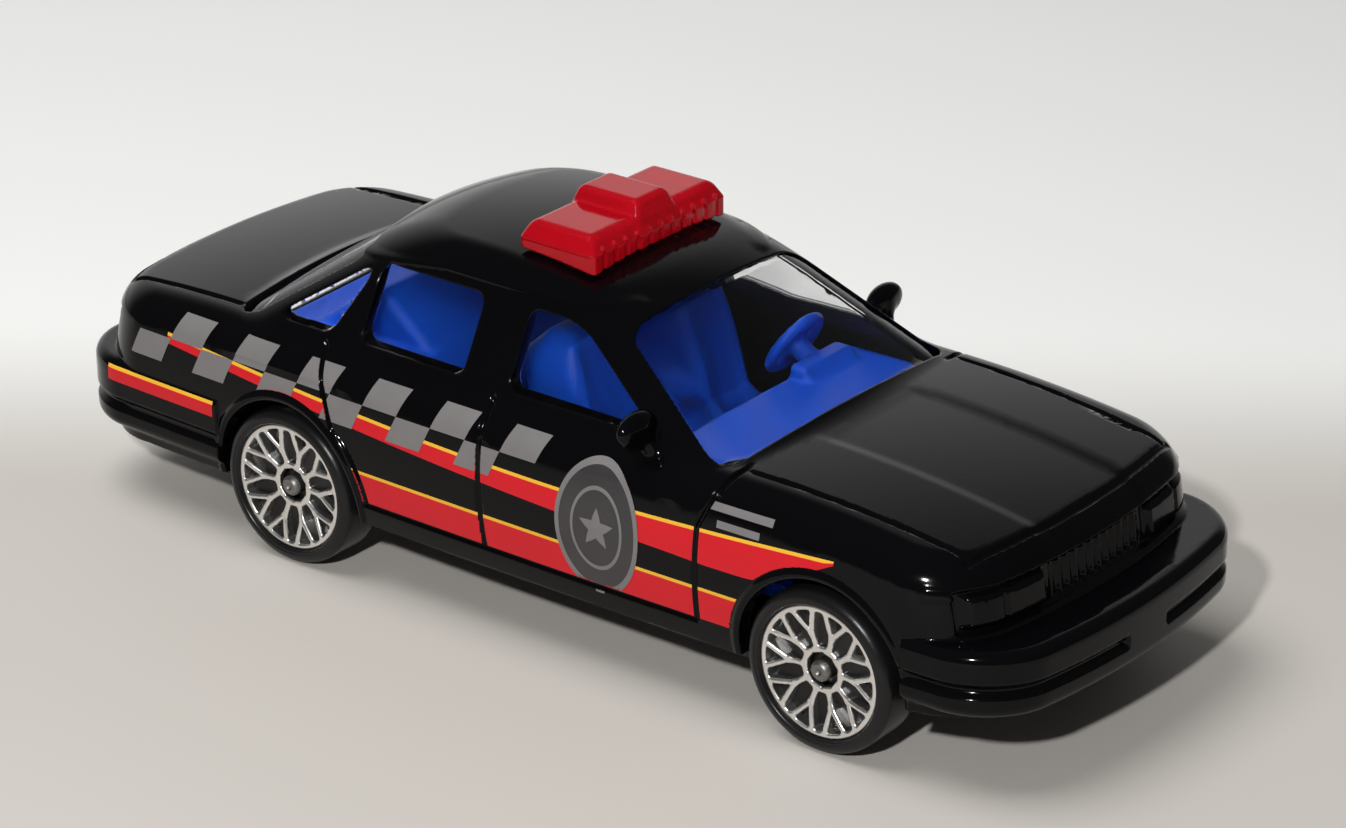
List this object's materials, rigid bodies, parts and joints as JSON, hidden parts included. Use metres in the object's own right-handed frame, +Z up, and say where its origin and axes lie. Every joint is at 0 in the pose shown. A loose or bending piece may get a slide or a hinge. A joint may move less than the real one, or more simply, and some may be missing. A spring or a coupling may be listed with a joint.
{
  "type": "toy police car",
  "caption": "Small die-cast toy police car: black four-door saloon with a red roof light bar, clear windows, a blue interior and free-rolling lace wheels on wire axles.",
  "frame": {"origin": "on the ground, under the middle of the car's length and width", "axes": "+X forward, +Y to the car's left, +Z up"},
  "size_m": [0.0766, 0.0284, 0.0255],
  "materials": {
    "body_paint": "gloss black enamel with printed stripes",
    "base_plastic": "matt black",
    "interior_plastic": "smooth bright blue",
    "clear_plastic": "clear and polished",
    "red_plastic": "translucent and polished",
    "steel": "bare wire",
    "wheel_plastic": "satin black tyre with a gloss dish",
    "bright_lace": "bright silver"
  },
  "bodies": {
    "car": {"body_shell": "body_paint", "chassis_base": "base_plastic", "interior_tub": "interior_plastic", "window_unit": "clear_plastic", "light_bar": "red_plastic", "base_rivets": "steel"},
    "front_axle": {"front_axle": "steel"},
    "rear_axle": {"rear_axle": "steel"},
    "front_left_wheel": {"front_left_wheel": "wheel_plastic", "front_left_lace": "bright_lace"},
    "front_right_wheel": {"front_right_wheel": "wheel_plastic", "front_right_lace": "bright_lace"},
    "rear_left_wheel": {"rear_left_wheel": "wheel_plastic", "rear_left_lace": "bright_lace"},
    "rear_right_wheel": {"rear_right_wheel": "wheel_plastic", "rear_right_lace": "bright_lace"}
  },
  "joints": [
    {"name": "front_axle_spin", "type": "hinge", "parent": "car", "child": "front_axle", "pos_m": [0.0242, 0, 0.0052], "axis": [0, 1, 0], "continuous": true},
    {"name": "rear_axle_spin", "type": "hinge", "parent": "car", "child": "rear_axle", "pos_m": [-0.0178, 0, 0.0052], "axis": [0, 1, 0], "continuous": true},
    {"name": "front_left_wheel_spin", "type": "hinge", "parent": "front_axle", "child": "front_left_wheel", "pos_m": [0.0242, 0.0138, 0.0052], "axis": [0, 1, 0], "continuous": true},
    {"name": "front_right_wheel_spin", "type": "hinge", "parent": "front_axle", "child": "front_right_wheel", "pos_m": [0.0242, -0.0138, 0.0052], "axis": [0, 1, 0], "continuous": true},
    {"name": "rear_left_wheel_spin", "type": "hinge", "parent": "rear_axle", "child": "rear_left_wheel", "pos_m": [-0.0178, 0.0138, 0.0052], "axis": [0, 1, 0], "continuous": true},
    {"name": "rear_right_wheel_spin", "type": "hinge", "parent": "rear_axle", "child": "rear_right_wheel", "pos_m": [-0.0178, -0.0138, 0.0052], "axis": [0, 1, 0], "continuous": true}
  ]
}
